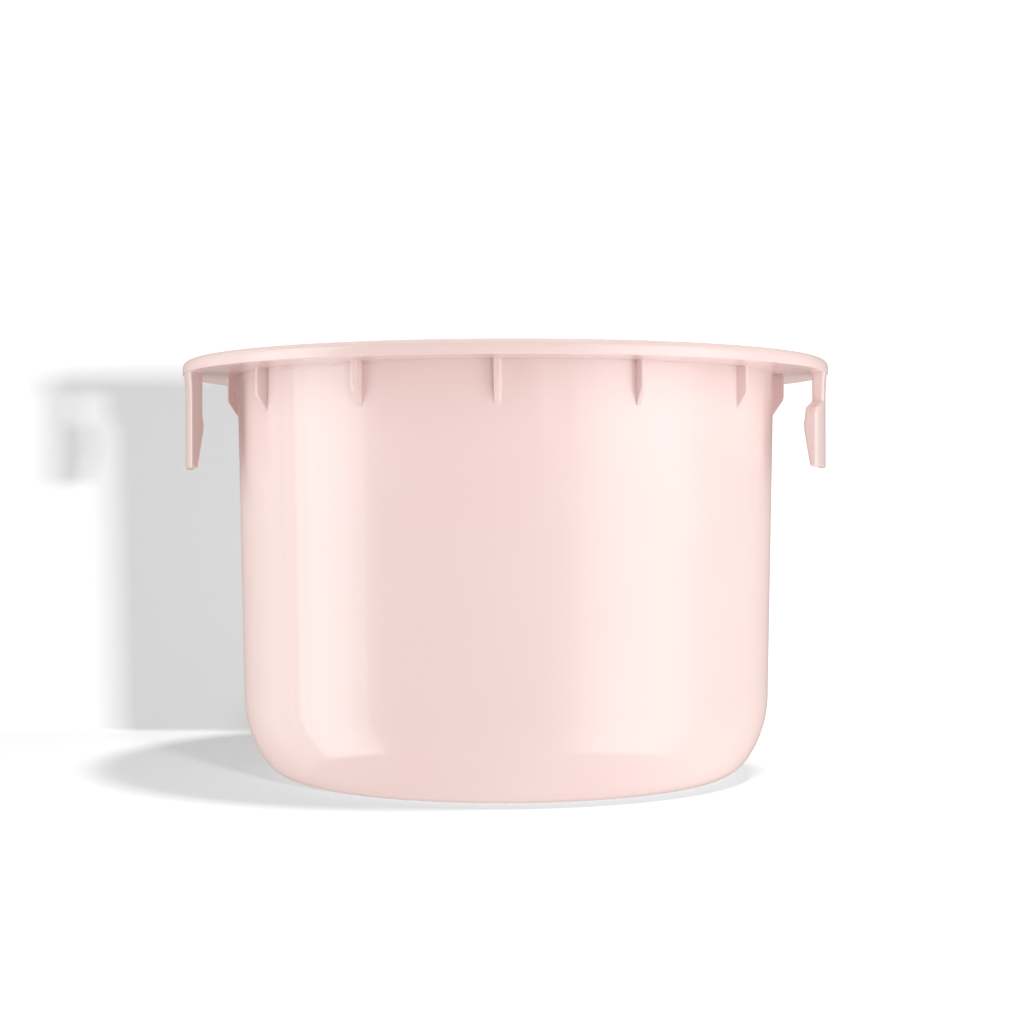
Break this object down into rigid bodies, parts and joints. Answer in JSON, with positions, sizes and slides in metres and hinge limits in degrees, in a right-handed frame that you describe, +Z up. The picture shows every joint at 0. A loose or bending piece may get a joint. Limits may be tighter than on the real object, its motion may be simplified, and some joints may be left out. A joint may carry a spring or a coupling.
{
  "type": "drop-in inner pot",
  "caption": "Round pale pink plastic inner pot for a warmer or holder: deep cup, wide thin rim with gussets below it, and hooked spring legs hanging from the rim.",
  "frame": {"origin": "centre of the flat base, where the pot's axis meets the surface that it stands on", "axes": "+Z up along the cup's axis, out of the mouth; -Y towards the front gusset, from which the two legs are equally far round; +X towards the right leg seen from the front"},
  "size_m": [0.058, 0.058, 0.037],
  "materials": {
    "pink_plastic": "polished injection-moulded polypropylene, slightly see-through"
  },
  "bodies": {
    "pot": {"cup_floor": "pink_plastic", "cup_corner": "pink_plastic", "cup_wall": "pink_plastic", "rim_flange": "pink_plastic", "gusset_01": "pink_plastic", "gusset_02": "pink_plastic", "gusset_03": "pink_plastic", "gusset_04": "pink_plastic", "gusset_05": "pink_plastic", "gusset_06": "pink_plastic", "gusset_07": "pink_plastic", "gusset_08": "pink_plastic", "gusset_09": "pink_plastic", "gusset_10": "pink_plastic", "gusset_11": "pink_plastic", "gusset_12": "pink_plastic", "gusset_13": "pink_plastic"},
    "left_leg": {"left_leg_stem": "pink_plastic", "left_leg_catch": "pink_plastic"},
    "right_leg": {"right_leg_stem": "pink_plastic", "right_leg_catch": "pink_plastic"}
  },
  "joints": [
    {"name": "left_leg_flex", "type": "hinge", "parent": "pot", "child": "left_leg", "pos_m": [-0.02684, -0.006, 0.0358], "axis": [0.2181, -0.9759, 0], "range_deg": [0, 6], "stiffness_Nm_per_rad": 0.05},
    {"name": "right_leg_flex", "type": "hinge", "parent": "pot", "child": "right_leg", "pos_m": [0.02684, -0.006, 0.0358], "axis": [0.2181, 0.9759, 0], "range_deg": [0, 6], "stiffness_Nm_per_rad": 0.05}
  ]
}
